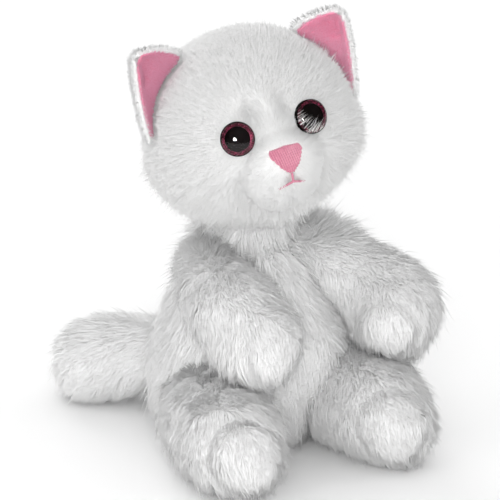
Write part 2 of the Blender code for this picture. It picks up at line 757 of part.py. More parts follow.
def make_head(pose):
    """Seven panels over the stuffing, with the eyes, the nose and the mouth."""
    form = head_form()
    neck_room = add_cutter("neck_room_head", ball_mesh([NECK_RADIUS + SOCKET_GAP] * 3, NECK_PIVOT))
    frames = {"left": eye_frame(form, 1), "right": eye_frame(form, -1)}
    post_room = rod_mesh(POST_RADIUS + TOUCH_GAP, -ROOM_REACH, POST_ROOM_TOP)
    washer_room = rod_mesh(WASHER_RADIUS + 2 * TOUCH_GAP, -(POST_LENGTH + POST_END_ROOM), WASHER_ROOM_TOP)
    plate_room = rod_mesh(EYE_RADIUS + TOUCH_GAP, EYE_SEAT - TOUCH_GAP, ROOM_REACH)
    posts = [add_cutter(f"post_room_{s}", moved(post_room, f), pose) for s, f in frames.items()]
    posts += [add_cutter(f"plate_room_{s}", moved(plate_room, f), pose) for s, f in frames.items()]
    pockets = [add_cutter(f"washer_room_{s}", moved(washer_room, f), pose) for s, f in frames.items()]
    skin = cut(skin_of(form), neck_room, *posts, parent=pose)

    muzzle_low = (-MUZZLE_HALF, None, MUZZLE_BOTTOM_Z)
    muzzle_high = (MUZZLE_HALF, MUZZLE_BACK_Y, MUZZLE_TOP_Z)
    muzzle = region("muzzle_region", muzzle_low, muzzle_high, pose)
    # What is cut away round the muzzle is larger than the muzzle by the seam's gap.
    around = box_mesh(
        (-MUZZLE_HALF - TOUCH_GAP / 2, -BIG, MUZZLE_BOTTOM_Z - TOUCH_GAP / 2),
        (MUZZLE_HALF + TOUCH_GAP / 2, MUZZLE_BACK_Y + TOUCH_GAP / 2, MUZZLE_TOP_Z + TOUCH_GAP / 2),
    )
    around = add_cutter("muzzle_gap", around, pose)
    add_panel("head_muzzle", skin, muzzle, pose)
    rest = cut(skin, around, parent=pose)
    gusset, back = GUSSET_HALF, BACK_SEAM_Y
    panels = {
        "head_gusset": ((-gusset, None, 0.0), (gusset, back, None)),
        "head_chin": ((-gusset, None, None), (gusset, back, 0.0)),
        "head_side_left": ((gusset, None, None), (None, back, None)),
        "head_side_right": ((None, None, None), (-gusset, back, None)),
        "head_back_left": ((0.0, back, None), (None, None, None)),
        "head_back_right": ((None, back, None), (0.0, None, None)),
    }
    for name, (low, high) in panels.items():
        add_panel(name, rest, region(f"{name}_region", low, high, pose), pose)
    core = inflated(form, -(FABRIC + STUFFING_GAP))
    add_part("head_stuffing", cut(core, neck_room, *pockets, parent=pose), "stuffing", pose)
    for side, frame in frames.items():
        make_eye(side, frame, pose)
    make_embroidery(form, pose)


def prism(outline):
    """A cutting prism through the face from an outline of (x, z) points."""
    curve = bpy.data.curves.new("outline", "CURVE")
    curve.dimensions = "2D"
    curve.fill_mode = "BOTH"
    curve.extrude = 30 * MM
    spline = curve.splines.new("POLY")
    spline.points.add(len(outline) - 1)
    for knot, (x, z) in zip(spline.points, outline):
        knot.co = (x, z, 0, 1)
    spline.use_cyclic_u = True
    made = tube_mesh(curve)
    made.transform(Matrix.Translation((0, -50 * MM, 0)) @ Matrix.Rotation(math.radians(90), 4, "X"))
    return face_out(made)


def make_embroidery(form, pose):
    """The satin-stitched nose and, below it, the stitched mouth: thin patches that lie on the muzzle."""
    layer = inflated(form, TOUCH_GAP + STITCH_DEPTH)
    under = add_cutter("under_stitches", inflated(form, TOUCH_GAP), pose)
    corner = NOSE_HALF * NOSE_CORNER
    flank = NOSE_HALF * NOSE_FLANK
    flank_z = NOSE_TOP_Z - NOSE_FLANK_DROP
    widest_z = NOSE_TOP_Z - NOSE_EDGE_DROP
    nose = [
        (-corner, NOSE_TOP_Z),
        (0, NOSE_TOP_Z + NOSE_BROW),
        (corner, NOSE_TOP_Z),
        (NOSE_HALF, widest_z),
        (flank, flank_z),
        (NOSE_TIP_HALF, NOSE_TIP_Z),
        (-NOSE_TIP_HALF, NOSE_TIP_Z),
        (-flank, flank_z),
        (-NOSE_HALF, widest_z),
    ]
    half = STITCH_HALF
    top = NOSE_TIP_Z - TOUCH_GAP
    fork = top - MOUTH_STEM
    end = fork - MOUTH_DROP
    mouth = [
        (half, top),
        (half, fork),
        (MOUTH_HALF, end),
        (MOUTH_LOWER_HALF, end - 2 * half),
        (0, fork - 2 * half),
        (-MOUTH_LOWER_HALF, end - 2 * half),
        (-MOUTH_HALF, end),
        (-half, fork),
        (-half, top),
    ]
    for name, outline in (("nose_stitches", nose), ("mouth_stitches", mouth)):
        block = add_cutter(f"{name}_outline", prism(outline), pose)
        front = region(f"{name}_front", (None, None, None), (None, FACE_FRONT_Y, None), pose)
        patch = cut(layer, block, front, keep=True, parent=pose)
        add_part(name, cut(patch, under, parent=pose), "pink_thread", pose)


def ear_surface(sign, width, low, high, forward):
    """An ear's curved flap as an open surface, from its base at low to its tip at high, moved forward."""
    top, bottom, tip = (Vector((v.x, v.y, v.z)) for v in (EAR_TOP, EAR_BOTTOM, EAR_TIP))
    along = (bottom - top).normalized()
    middle = (top + bottom) / 2
    reach = tip - middle
    shift = reach.dot(along)
    up = reach - along * shift
    height = up.length
    up.normalize()
    facing = along.cross(up)
    if facing.y > 0:
        facing = -facing
    half = (bottom - top).length / 2
    askew = Matrix.Rotation(EAR_ASKEW, 3, "Y")

    def rule(point):
        s, t = point.x, low + (high - low) * (point.y + 1) / 2
        spread = half * width * (1 - t**EAR_ROUNDING) ** EAR_POINT
        made = middle + along * (s * spread + shift * t) + up * (height * t)
        cup = (1 - (s * width) ** 2) * (1 - 0.6 * t)
        made -= facing * (EAR_CUP * cup - forward)
        # The base follows the head's round side instead of a straight chord.
        made += up * (EAR_CLEAR + EAR_BASE_BOW * (1 - (s * width) ** 2) * (1 - t))
        made.x *= sign
        return askew @ made

    soup = bmesh.new()
    bmesh.ops.create_grid(soup, x_segments=EAR_COLUMNS, y_segments=EAR_ROWS, size=1.0)
    made = bpy.data.meshes.new("flap")
    soup.to_mesh(made)
    soup.free()
    return reshaped(made, rule), askew @ Vector((facing.x * sign, facing.y, facing.z))


def make_ear(side, pose):
    """An ear: its furred back and its pink lining, laid face to face."""
    sign = 1 if side == "left" else -1
    layers = (
        ("back", "white_plush", (1.0, 0.0, 0.985), 0.0, -EAR_BACK),
        ("lining", "pink_plush", (0.86, 0.03, 0.9), EAR_LAYER_GAP, EAR_LINING),
    )
    for name, slot, (width, low, high), forward, thickness in layers:
        surface, facing = ear_surface(sign, width, low, high, forward)
        guide = add_cutter("flap", surface)
        normal = Vector(surface.polygons[len(surface.polygons) // 2].normal)
        wall = guide.modifiers.new("wall", "SOLIDIFY")
        wall.thickness = abs(thickness)
        wall.offset = math.copysign(1.0, thickness * normal.dot(facing))
        made = face_out(evaluated_mesh(guide))
        bpy.data.objects.remove(guide)
        add_part(f"ear_{name}_{side}", made, slot, pose)


# ---------------------------------------------------------------- assembly


def main():
    arm_forms = {side: limb_form(stations) for side, stations in ARMS.items()}
    leg_forms = {side: limb_form(stations) for side, stations in LEGS.items()}
    tail_form = limb_form(TAIL)
    rooms = []
    for side in ("left", "right"):
        outward = LEG_SPREAD if side == "left" else -LEG_SPREAD
        rooms.append(sweep_cutter(f"arm_{side}", ARMS[side], "X", (0, -ARM_LIFT)))
        rooms.append(sweep_cutter(f"leg_{side}", LEGS[side], "Z", (0, outward)))
    rooms.append(sweep_cutter("tail", TAIL, "Z", (-TAIL_WAG, 0, TAIL_WAG)))

    make_torso(rooms)
    make_neck()
    pose = head_frame()
    make_head(pose)
    for side in ("left", "right"):
        make_ear(side, pose)
        make_arm(side, arm_forms[side])
        make_leg(side, leg_forms[side])
        seam_ring(f"shoulder_seam_{side}", ARMS[side])
        seam_ring(f"hip_seam_{side}", LEGS[side])
    make_tail(tail_form)
    seam_ring("tail_seam", TAIL)


main()
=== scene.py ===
"""The sitting plush kitten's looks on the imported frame: swollen skins, mesh fur, eyes and stitching.

Metres, +Z up, the CAD's own frame. The kitten faces -Y and its own left side is +X. Each soft body
gets one skin, made from its CAD panels and stuffing, and fur grown on that skin as closed, tapered
locks that ride with it.
"""

import math

import bmesh
import bpy
import numpy as np
from mathutils import Matrix, Vector, kdtree


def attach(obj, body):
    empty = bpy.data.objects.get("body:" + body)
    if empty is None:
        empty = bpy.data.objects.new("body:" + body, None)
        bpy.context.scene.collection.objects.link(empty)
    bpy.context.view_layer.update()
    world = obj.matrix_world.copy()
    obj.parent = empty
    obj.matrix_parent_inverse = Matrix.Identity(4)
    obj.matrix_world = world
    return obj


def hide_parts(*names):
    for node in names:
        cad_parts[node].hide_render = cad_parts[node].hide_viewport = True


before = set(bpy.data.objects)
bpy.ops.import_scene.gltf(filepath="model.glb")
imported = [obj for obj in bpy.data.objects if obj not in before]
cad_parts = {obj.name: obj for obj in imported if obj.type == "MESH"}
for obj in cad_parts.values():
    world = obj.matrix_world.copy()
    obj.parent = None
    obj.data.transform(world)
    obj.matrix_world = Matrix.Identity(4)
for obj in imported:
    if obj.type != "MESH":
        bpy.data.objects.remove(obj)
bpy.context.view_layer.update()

MM = 0.001

# The head's own frame, as in the CAD: centre, then yaw, pitch and roll of a face that looks along -Y
HEAD_CENTRE = Vector((-5, -18, 163)) * MM
HEAD_TURN = (
    Matrix.Rotation(math.radians(-13.5), 4, "Z")
    @ Matrix.Rotation(math.radians(-10), 4, "X")
    @ Matrix.Rotation(math.radians(-11.5), 4, "Y")
)
HEAD_POSE = np.array(Matrix.Translation(HEAD_CENTRE) @ HEAD_TURN)
HEAD_POSE_INVERSE = np.linalg.inv(HEAD_POSE)

# Skins
VOXEL = 3.4 * MM
PRESSURE = 4.0
SWELL_FRAMES = 20
SWELL_CAP = 2.2 * MM
LUMP_HEIGHT = 0.9 * MM
LUMP_SIZE = 26 * MM
SKIN_INSET = 2.0 * MM  # how far a skin starts inside the CAD's outer face

# Fur
FUR_DENSITY = 3.2  # locks per square millimetre
LOCK_RADIUS = 0.19 * MM
LOCKS_PER_PIECE = 19500
LOCK_POINTS = 7  # two rings of three points and a tip
LOCK_BASE = 0.5 * MM  # how deep a lock's root sits in its skin
LOCK_MIDDLE = 0.52  # of a lock's length, where it bends
LOCK_WAIST = 0.82  # of its root's radius, at the bend
LOCK_BEND = 0.35
OWN_NORMAL = 0.25  # how much of a lock's own roundness its shading keeps
WISP_SHARE = 0.05  # of locks, which stand out longer than the rest
WISP_EXTRA = 0.45
SHADE_SHARES = [0.5, 0.25, 0.25]  # of the locks, in each of a coat's shades
PAINTED_LIGHT_OFFSET = len(SHADE_SHARES)  # how far on in its materials a coat's lighter copies of its whites, painted light, are
FUR_BOUNCES = 24  # light bounces between white locks
FLOOR_CLEAR = 0.3 * MM
LIMB_SAG = 0.7  # how much a limb's pile turns downwards, beside lying along the limb

SIDES = ("left", "right")
SIGN = {"left": 1.0, "right": -1.0}


# ---------------------------------------------------------------- arrays


def unit(v):
    return v / np.maximum(np.linalg.norm(v, axis=-1, keepdims=True), 1e-12)


def to_head(points):
    """World points in the head's own frame."""
    return points @ HEAD_POSE_INVERSE[:3, :3].T + HEAD_POSE_INVERSE[:3, 3]


def from_head(points):
    return points @ HEAD_POSE[:3, :3].T + HEAD_POSE[:3, 3]


def turn_from_head(vectors):
    return vectors @ HEAD_POSE[:3, :3].T


def bell(x):
    return np.exp(-np.square(x))


def smooth_step(x, low, high):
    t = np.clip((x - low) / (high - low), 0, 1)
    return t * t * (3 - 2 * t)


def coords(mesh):
    flat = np.empty(len(mesh.vertices) * 3, np.float32)
    mesh.vertices.foreach_get("co", flat)
    return flat.reshape(-1, 3).astype(float)


def normals(mesh):
    flat = np.empty(len(mesh.vertices) * 3, np.float32)
    mesh.vertex_normals.foreach_get("vector", flat)
    return flat.reshape(-1, 3).astype(float)


def set_coords(mesh, points):
    mesh.vertices.foreach_set("co", points.astype(np.float32).ravel())
    mesh.update()


def triangles(mesh):
    mesh.calc_loop_triangles()
    flat = np.empty(len(mesh.loop_triangles) * 3, np.int32)
    mesh.loop_triangles.foreach_get("vertices", flat)
    return flat.reshape(-1, 3)


def triangle_mesh(name, points, faces, slots=None):
    """A smooth mesh from arrays of points and triangles, with a material index for each triangle."""
    mesh = bpy.data.meshes.new(name)
    mesh.vertices.add(len(points))
    mesh.vertices.foreach_set("co", points.astype(np.float32).ravel())
    mesh.loops.add(faces.size)
    mesh.loops.foreach_set("vertex_index", faces.astype(np.int32).ravel())
    mesh.polygons.add(len(faces))
    mesh.polygons.foreach_set("loop_start", np.arange(0, faces.size, 3, dtype=np.int32))
    if slots is not None:
        mesh.polygons.foreach_set("material_index", slots.astype(np.int32))
    mesh.update(calc_edges=True)
    mesh.shade_smooth()
    return mesh


def add_object(name, mesh, *materials):
    made = bpy.data.objects.new(name, mesh)
    mesh.materials.clear()
    for one in materials:
        mesh.materials.append(one)
    bpy.context.scene.collection.objects.link(made)
    return made


def evaluated(thing):
    """The mesh that an object's modifiers make."""
    bpy.context.view_layer.update()
    graph = bpy.context.evaluated_depsgraph_get()
    return bpy.data.meshes.new_from_object(thing.evaluated_get(graph), depsgraph=graph)


def apply_all(thing):
    made = evaluated(thing)
    thing.modifiers.clear()
    thing.data = made
    return thing


# ---------------------------------------------------------------- materials


def principled(name, colour, roughness, **sockets):
    """A Principled material with uniform values on its shader's own sockets."""
    made = bpy.data.materials.new(name)
    made.use_nodes = True
    shader = made.node_tree.nodes["Principled BSDF"]
    shader.inputs["Base Color"].default_value = (*colour, 1)
    shader.inputs["Roughness"].default_value = roughness
    for socket, value in sockets.items():
        shader.inputs[socket.replace("_", " ")].default_value = value
    return made


def node(tree, kind, **values):
    made = tree.nodes.new(kind)
    for name, value in values.items():
        if name in made.inputs:
            made.inputs[name].default_value = value
        else:
            setattr(made, name, value)
    return made


def add_noise_bump(material, scale, distance, strength=0.5, detail=4.0):
    """Fine relief from noise in object space."""
    tree = material.node_tree
    place = node(tree, "ShaderNodeTexCoord")
    noise = node(tree, "ShaderNodeTexNoise", Scale=scale, Detail=detail, Roughness=0.6)
    bump = node(tree, "ShaderNodeBump", Strength=strength, Distance=distance)
    tree.links.new(place.outputs["Object"], noise.inputs["Vector"])
    tree.links.new(noise.outputs["Fac"], bump.inputs["Height"])
    tree.links.new(bump.outputs["Normal"], tree.nodes["Principled BSDF"].inputs["Normal"])
    return noise


def add_mottle(material, noise, low, high):
    """Colours the surface between two colours by a noise's value."""
    tree = material.node_tree
    ramp = node(tree, "ShaderNodeValToRGB")
    ramp.color_ramp.elements[0].position = 0.35
    ramp.color_ramp.elements[0].color = (*low, 1)
    ramp.color_ramp.elements[1].position = 0.65
    ramp.color_ramp.elements[1].color = (*high, 1)
    tree.links.new(noise.outputs["Fac"], ramp.inputs["Fac"])
    tree.links.new(ramp.outputs["Color"], tree.nodes["Principled BSDF"].inputs["Base Color"])


def fabric_material(name, low, high, roughness, scale, distance):
    made = principled(name, high, roughness, Sheen_Weight=0.3, Sheen_Roughness=0.5)
    add_mottle(made, add_noise_bump(made, scale, distance), low, high)
    return made


def fur_materials(name, colours, roughness):
    """One material for each shade of lock."""
    return [
        principled(f"{name}_{k + 1}", colour, roughness, Sheen_Weight=0.25, Sheen_Roughness=0.4)
        for k, colour in enumerate(colours)
    ]


def glitter_material():
    """Burgundy foil with flakes of other reds that catch the light."""
    made = principled("glitter_foil", (0.4, 0.03, 0.12), 0.28, Metallic=0.7)
    tree = made.node_tree
    shader = tree.nodes["Principled BSDF"]
    place = node(tree, "ShaderNodeTexCoord")
    cells = node(tree, "ShaderNodeTexVoronoi", Scale=2600.0)
    ramp = node(tree, "ShaderNodeValToRGB")
    ramp.color_ramp.elements[0].color = (0.035, 0.001, 0.008, 1)
    ramp.color_ramp.elements[1].color = (0.36, 0.035, 0.1, 1)
    middle = ramp.color_ramp.elements.new(0.72)
    middle.color = (0.04, 0.002, 0.009, 1)
    bright = node(tree, "ShaderNodeSeparateColor")
    bump = node(tree, "ShaderNodeBump", Strength=0.7, Distance=0.0002)
    tree.links.new(place.outputs["Object"], cells.inputs["Vector"])
    tree.links.new(cells.outputs["Color"], bright.inputs["Color"])
    tree.links.new(bright.outputs["Red"], ramp.inputs["Fac"])
    tree.links.new(ramp.outputs["Color"], shader.inputs["Base Color"])
    tree.links.new(bright.outputs["Green"], bump.inputs["Height"])
    tree.links.new(bump.outputs["Normal"], shader.inputs["Normal"])
    return made


# One white plush in two copies. The head's whites are darker, painted shade that tones down the well-lit
# head. The body's are near full white, painted light that lifts the shade between the limbs. Within each list
# the three tones differ at random.
HEAD_WHITES_PAINTED_SHADE = [(0.925, 0.925, 0.92), (0.9, 0.898, 0.892), (0.95, 0.95, 0.95)]
BODY_WHITES_PAINTED_LIGHT = [(0.985, 0.985, 0.982), (0.975, 0.974, 0.97), (0.99, 0.99, 0.99)]
PINKS = [(0.9, 0.36, 0.52), (0.84, 0.26, 0.41), (0.95, 0.48, 0.62)]
HEAD_FUR_PAINTED_SHADE = fur_materials("white_head_fur_painted_shade", HEAD_WHITES_PAINTED_SHADE, 0.7)
WHITE_FUR_PAINTED_LIGHT = fur_materials("white_fur_painted_light", BODY_WHITES_PAINTED_LIGHT, 0.7)
PINK_FUR = fur_materials("pink_pile", PINKS, 0.6)
WHITE_SKIN = fabric_material("white_backing", (0.82, 0.82, 0.81), (0.92, 0.92, 0.915), 0.9, 900.0, 0.0004)
RIM_SKIN = fabric_material("rim_backing", (0.84, 0.84, 0.83), (0.92, 0.92, 0.915), 0.9, 900.0, 0.0004)
PINK_SKIN = fabric_material("pink_backing", (0.8, 0.2, 0.34), (0.88, 0.3, 0.44), 0.9, 1200.0, 0.0003)
PINK_SATIN = fabric_material("pink_satin", (0.5, 0.15, 0.23), (0.6, 0.21, 0.3), 0.5, 900.0, 0.0001)
WHITE_THREAD = fabric_material("white_thread", (0.78, 0.78, 0.77), (0.9, 0.9, 0.89), 0.6, 3000.0, 0.0001)
BAG_CLOTH = fabric_material("bag_cloth", (0.7, 0.7, 0.66), (0.82, 0.82, 0.79), 0.85, 1500.0, 0.0002)
GLITTER = glitter_material()
BLACK = principled("black_plastic", (0.003, 0.002, 0.002), 0.5, Specular_IOR_Level=0.02)
CLEAR = principled("clear_dome", (1.0, 0.99, 0.99), 0.02, Transmission_Weight=1.0, IOR=1.3)


# ---------------------------------------------------------------- skins


def joined_nodes(names):
    """Points and triangles of several CAD nodes together."""
    points, faces, count = [], [], 0
    for name in names:
        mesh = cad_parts[name].data
        points.append(coords(mesh))
        faces.append(triangles(mesh) + count)
        count += len(points[-1])
    return np.concatenate(points), np.concatenate(faces)


def start_skin(name, nodes):
    """A skin: the nodes' common outside, remeshed, smoothed and set in a little, ready to swell."""
    points, faces = joined_nodes(nodes)
    skin = add_object(name, triangle_mesh(name, points, faces), WHITE_SKIN)
    remesh = skin.modifiers.new("remesh", "REMESH")
    remesh.mode = "VOXEL"
    remesh.voxel_size = VOXEL
    smooth = skin.modifiers.new("smooth", "SMOOTH")
    smooth.factor = 0.5
    smooth.iterations = 6
    apply_all(skin)
    keep_largest(skin.data)
    set_coords(skin.data, coords(skin.data) - normals(skin.data) * SKIN_INSET)
    return skin


def keep_largest(mesh):
    """Drops every piece of a mesh but the one with the most points, such as pockets left inside."""
    soup = bmesh.new()
    soup.from_mesh(mesh)
    left = set(soup.verts)
    pieces = []
    while left:
        piece, edge = set(), [left.pop()]
        while edge:
            point = edge.pop()
            piece.add(point)
            fresh = {line.other_vert(point) for line in point.link_edges} & left
            left -= fresh
            edge += fresh
        pieces.append(piece)
    pieces.sort(key=len)
    for piece in pieces[:-1]:
        bmesh.ops.delete(soup, geom=list(piece), context="VERTS")
    soup.to_mesh(mesh)
    soup.free()


def swell(skins):
    """Blows the skins up like stuffed cloth for a few frames, and caps how far each point goes."""
    start = {}
    for skin in skins:
        start[skin.name] = coords(skin.data)
        cloth = skin.modifiers.new("cloth", "CLOTH")
        cloth.settings.quality = 3
        cloth.settings.mass = 0.3
        cloth.settings.use_pressure = True
        cloth.settings.uniform_pressure_force = PRESSURE
        cloth.settings.effector_weights.gravity = 0
        cloth.collision_settings.use_collision = False
        cloth.point_cache.frame_start = 1
        cloth.point_cache.frame_end = SWELL_FRAMES
    for step in range(1, SWELL_FRAMES + 1):
        bpy.context.scene.frame_set(step)
    blown = {skin.name: coords(evaluated(skin)) for skin in skins}
    bpy.context.scene.frame_set(1)
    for skin in skins:
        skin.modifiers.clear()
        move = blown[skin.name] - start[skin.name]
        far = np.linalg.norm(move, axis=1, keepdims=True)
        capped = move * np.minimum(1.0, SWELL_CAP / np.maximum(far, 1e-9))
        set_coords(skin.data, start[skin.name] + capped)
        finer = skin.modifiers.new("finer", "SUBSURF")
        finer.levels = finer.render_levels = 1
        apply_all(skin)


def lumps(points, size, seed):
    """Smooth noise between -1 and 1 from a few waves in fixed random directions."""
    rng = np.random.default_rng(seed)
    total = np.zeros(len(points))
    for _ in range(7):
        wave = unit(rng.normal(size=3)) * math.tau / (size * rng.uniform(0.7, 1.5))
        total += np.sin(points @ wave + rng.uniform(0, math.tau))
    return total / 3.5


def add_lumps(skin, amount, size, seed):
    points = coords(skin.data)
    set_coords(skin.data, points + normals(skin.data) * (amount * lumps(points, size, seed))[:, None])


# ---------------------------------------------------------------- fur


def scatter(mesh, count, weight, rng):
    """Random places on a mesh, as points and normals, by area and by a weight at each place."""
    points, ups, faces = coords(mesh), normals(mesh), triangles(mesh)
    a, b, c = (points[faces[:, k]] for k in range(3))
    area = np.linalg.norm(np.cross(b - a, c - a), axis=1) / 2
    share = area * weight((a + b + c) / 3, unit(ups[faces].sum(axis=1)))
    total = share.sum()
    picked = np.searchsorted(np.cumsum(share), rng.random(count) * total)
    picked = np.minimum(picked, len(faces) - 1)
    u, v = rng.random(count), rng.random(count)
    flip = u + v > 1
    u[flip], v[flip] = 1 - u[flip], 1 - v[flip]
    w = 1 - u - v
    mix = np.stack([w, u, v], axis=1)[:, :, None]
    return (points[faces[picked]] * mix).sum(axis=1), unit((ups[faces[picked]] * mix).sum(axis=1))


def surface_area(mesh):
    points, faces = coords(mesh), triangles(mesh)
    a, b, c = (points[faces[:, k]] for k in range(3))
    return np.linalg.norm(np.cross(b - a, c - a), axis=1).sum() / 2


def lock_arrays(root, middle, tip, radius, rng):
    """Closed three-sided locks that taper from a root through a middle to a point."""
    count = len(root)
    along = unit(tip - root)
    side = unit(np.cross(along, unit(rng.normal(size=(count, 3)))))
    other = np.cross(along, side)
    rings = []
    for place, width in ((root, 1.0), (middle, LOCK_WAIST)):
        for k in range(3):
            angle = math.tau * k / 3
            spoke = side * math.cos(angle) + other * math.sin(angle)
            rings.append(place + spoke * (radius * width)[:, None])
    points = np.stack([*rings, tip], axis=1)
    one = [(0, 2, 1)]
    for k in range(3):
        following = (k + 1) % 3
        one += [(k, following, 3 + following), (k, 3 + following, 3 + k), (3 + k, 3 + following, 6)]
    faces = np.array(one)[None] + LOCK_POINTS * np.arange(count)[:, None, None]
    return points.reshape(-1, 3), faces.reshape(-1, 3), len(one)


def soften_shading(mesh, outward):
    """Shades each lock partly by the way its skin faces, as soft pile looks, by custom normals."""
    own = normals(mesh)
    mesh.normals_split_custom_set_from_vertices(unit(own * OWN_NORMAL + outward))


def grow_fur(name, skin, body, style, seed, materials, slot, clump_size=7 * MM, density=1.0):
    """Fur on a skin, which rides with a body.

    style(points, normals) gives each lock's length, lean, combing direction, density, clumping, droop
    and stray. It may also give a width, a chance of a lighter copy of its white as painted light, and the
    way the lock's shading faces. Locks near one another lean to a shared tip, so that the pile lies in tufts.
    """
    rng = np.random.default_rng(seed)
    count = int(surface_area(skin.data) / MM**2 * FUR_DENSITY * density)
    root, up = scatter(skin.data, count, lambda p, n: style(p, n)["density"], rng)
    look = style(root, up)
    length = look["length"] * rng.uniform(0.72, 1.18, count)
    length *= 1 + WISP_EXTRA * (rng.random(count) < WISP_SHARE)
    comb = look["comb"] - up * (look["comb"] * up).sum(axis=1, keepdims=True)
    lean = look["lean"][:, None]
    way = unit(up + unit(comb) * lean * np.minimum(1, np.linalg.norm(comb, axis=1))[:, None])
    way = unit(way + rng.normal(size=(count, 3)) * look["stray"][:, None])
    down = np.array([0, 0, -1.0])
    bend = unit(way + unit(comb) * LOCK_BEND * lean + down * look["droop"][:, None])
    middle = root + way * (length * LOCK_MIDDLE)[:, None]
    tip = middle + bend * (length * (1 - LOCK_MIDDLE))[:, None]

    # Tufts: every lock is drawn towards the tip of the nearest of a sparser set of locks.
    leaders = rng.choice(count, max(8, int(surface_area(skin.data) / clump_size**2)), replace=False)
    tree = point_tree(root[leaders])
    nearest = leaders[np.array([tree.find(place)[1] for place in root])]
    pull = (look["clump"] * rng.uniform(0.55, 1.0, count))[:, None]
    tip = tip + (tip[nearest] - tip) * pull
    middle = middle + (middle[nearest] - middle) * pull * 0.3

    root = root - up * LOCK_BASE
    for place in (root, middle, tip):
        place[:, 2] = np.maximum(place[:, 2], FLOOR_CLEAR)
    radius = LOCK_RADIUS * look.get("width", np.ones(count)) * rng.uniform(0.7, 1.2, count)
    shade = rng.choice(len(SHADE_SHARES), count, p=SHADE_SHARES)
    # Painted light: where the style gives a chance, a lock takes the lighter copy of its white.
    shade += PAINTED_LIGHT_OFFSET * (rng.random(count) < look.get("whiter", np.zeros(count)))
    facing = look.get("facing", up)
    for k, first in enumerate(range(0, count, LOCKS_PER_PIECE)):
        part = slice(first, first + LOCKS_PER_PIECE)
        points, faces, per_lock = lock_arrays(root[part], middle[part], tip[part], radius[part], rng)
        mesh = triangle_mesh(f"{name}_{k + 1}", points, faces, np.repeat(shade[part], per_lock))
        soften_shading(mesh, np.repeat(facing[part], LOCK_POINTS, axis=0))
        piece = add_object(f"{name}_{k + 1}", mesh, *materials)
        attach(piece, body)


def flow_along(path):
    """Combing along a limb: at each point, the direction of the nearest stretch of its middle line."""
    path = np.array(path) * MM
    steps = unit(np.diff(path, axis=0))
    middles = (path[1:] + path[:-1]) / 2

    def comb(points):
        away = np.linalg.norm(points[:, None] - middles[None], axis=2)
        share = np.exp(-np.square(away / (14 * MM)))
        return unit((share[:, :, None] * steps[None]).sum(axis=1)) + np.array([0, 0, -LIMB_SAG])

    return comb


def point_tree(points):
    tree = kdtree.KDTree(len(points))
    for k, place in enumerate(points):
        tree.insert(place, k)
    tree.balance()
    return tree


def body_style(length, lean, comb, clump=0.35, droop=0.25, stray=0.12, density=1.0):
    """A style with one value of each kind, where length, lean and density may depend on the place."""

    def style(points, ups):
        count = len(points)
        return {
            "length": length(points, ups) if callable(length) else np.full(count, length),
            "lean": lean(points, ups) if callable(lean) else np.full(count, lean),
            "comb": comb(points),
            "density": density(points, ups) if callable(density) else np.full(count, density),
            "clump": np.full(count, clump),
            "droop": np.full(count, droop),
            "stray": np.full(count, stray),
        }

    return style


# ---------------------------------------------------------------- the soft bodies

# Middle lines of the limbs, from joint to end, in mm, as in the CAD
ARM_LINES = {
    "right": [(-22, -9, 91.5), (-29, -26, 87), (-28, -44, 80), (-25, -57, 71), (-24.5, -75, 60)],
    "left": [(22, -9, 91.5), (37, -22, 86), (50, -39, 79), (55, -53, 72), (53, -75, 58)],
}
LEG_LINES = {
    "right": [(-27, -12, 22), (-36, -34, 24.3), (-41, -54, 25), (-44, -70, 23.8), (-47, -95, 20)],
    "left": [(27, -12, 22), (35, -34, 24.3), (38, -54, 25), (39, -70, 23.8), (40, -95, 20)],
}
# The tops of the shoulders, out and up from the arms' joints
SHOULDERS = {
    side: (np.array(ARM_LINES[side][0]) + np.array([SIGN[side] * 8, 0, 12])) * MM for side in SIDES
}
# The pads at the limbs' ends: a middle, in mm, and how wide and how tall the pad is from its middle
PALMS = {"right": ((-22, -78, 72), 17, 23), "left": ((38, -77, 66), 17, 17)}
SOLES = {"right": ((-49, -94, 26), 19, 19), "left": ((33, -94, 26), 18, 19)}
PAD_TRIM = 0.25  # how much shorter a pad's pile is
PAD_CREASE = 2.2 * MM
BELLY_FOLD = np.array([25, -35, 56]) * MM
BELLY_FOLD_RADIUS = 17 * MM
BELLY_FOLD_OUT = 6 * MM
TAIL_LINE = [(-6, 34, 27), (-17, 49, 27.5), (-30, 61, 22.5), (-39, 68, 18.8), (-50, 82, 14)]

HEAD_NODES = [
    "head_muzzle", "head_gusset", "head_chin", "head_side_left", "head_side_right",
    "head_back_left", "head_back_right", "head_stuffing",
]  # fmt: skip
TORSO_NODES = ["torso_belly", "torso_back_left", "torso_back_right", "torso_seat", "torso_stuffing"]
TAIL_NODES = ["tail_upper", "tail_lower", "tail_stuffing"]
LIMB_PANELS = {"arm": ("outer", "inner", "stuffing"), "leg": ("upper", "sole", "stuffing")}


def limb_nodes(limb, side):
    return [f"{limb}_{panel}_{side}" for panel in LIMB_PANELS[limb]]


